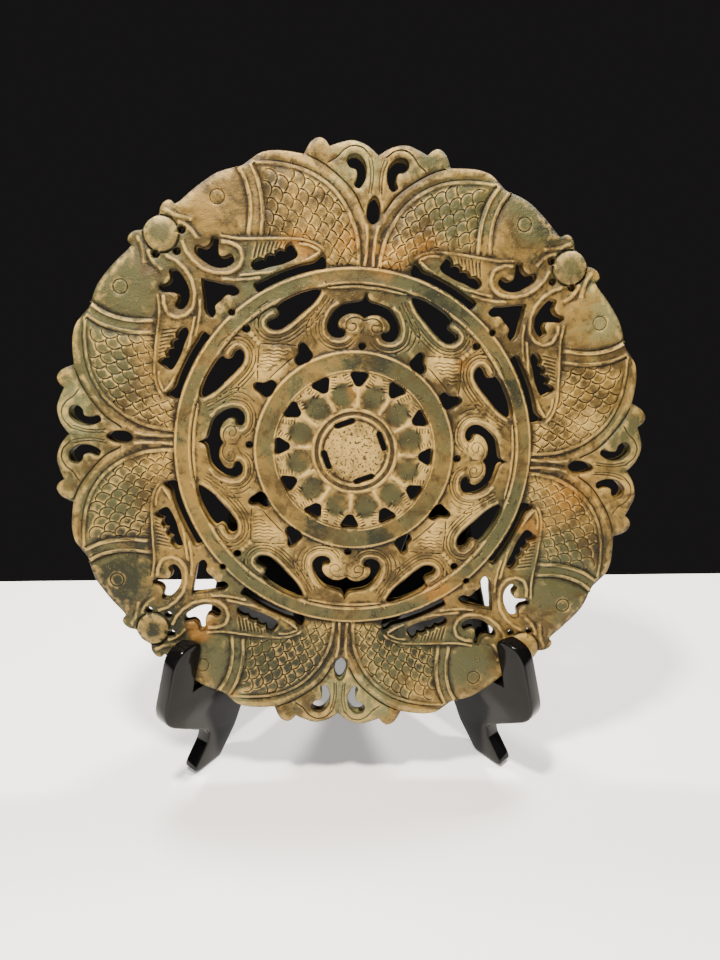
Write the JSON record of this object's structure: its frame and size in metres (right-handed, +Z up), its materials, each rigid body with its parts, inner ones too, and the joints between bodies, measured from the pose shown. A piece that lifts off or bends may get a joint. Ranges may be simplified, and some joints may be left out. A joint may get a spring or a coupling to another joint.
{
  "type": "carved jade plate on a display stand",
  "caption": "Round openwork plate of green-brown carved stone with fish round a flower, leaning in a black folding-style display stand.",
  "frame": {"origin": "middle of the object's box, on the surface it stands on", "axes": "+Z up, -Y to the carved front, +X to the right seen from the front"},
  "size_m": [0.2826, 0.1188, 0.3044],
  "materials": {
    "stone": "satin, waxy, with earthy patina",
    "black_plastic": "glossy moulded"
  },
  "bodies": {
    "root": {"jade_plate": "stone", "stand_arm_left": "black_plastic", "stand_arm_right": "black_plastic"}
  },
  "joints": []
}
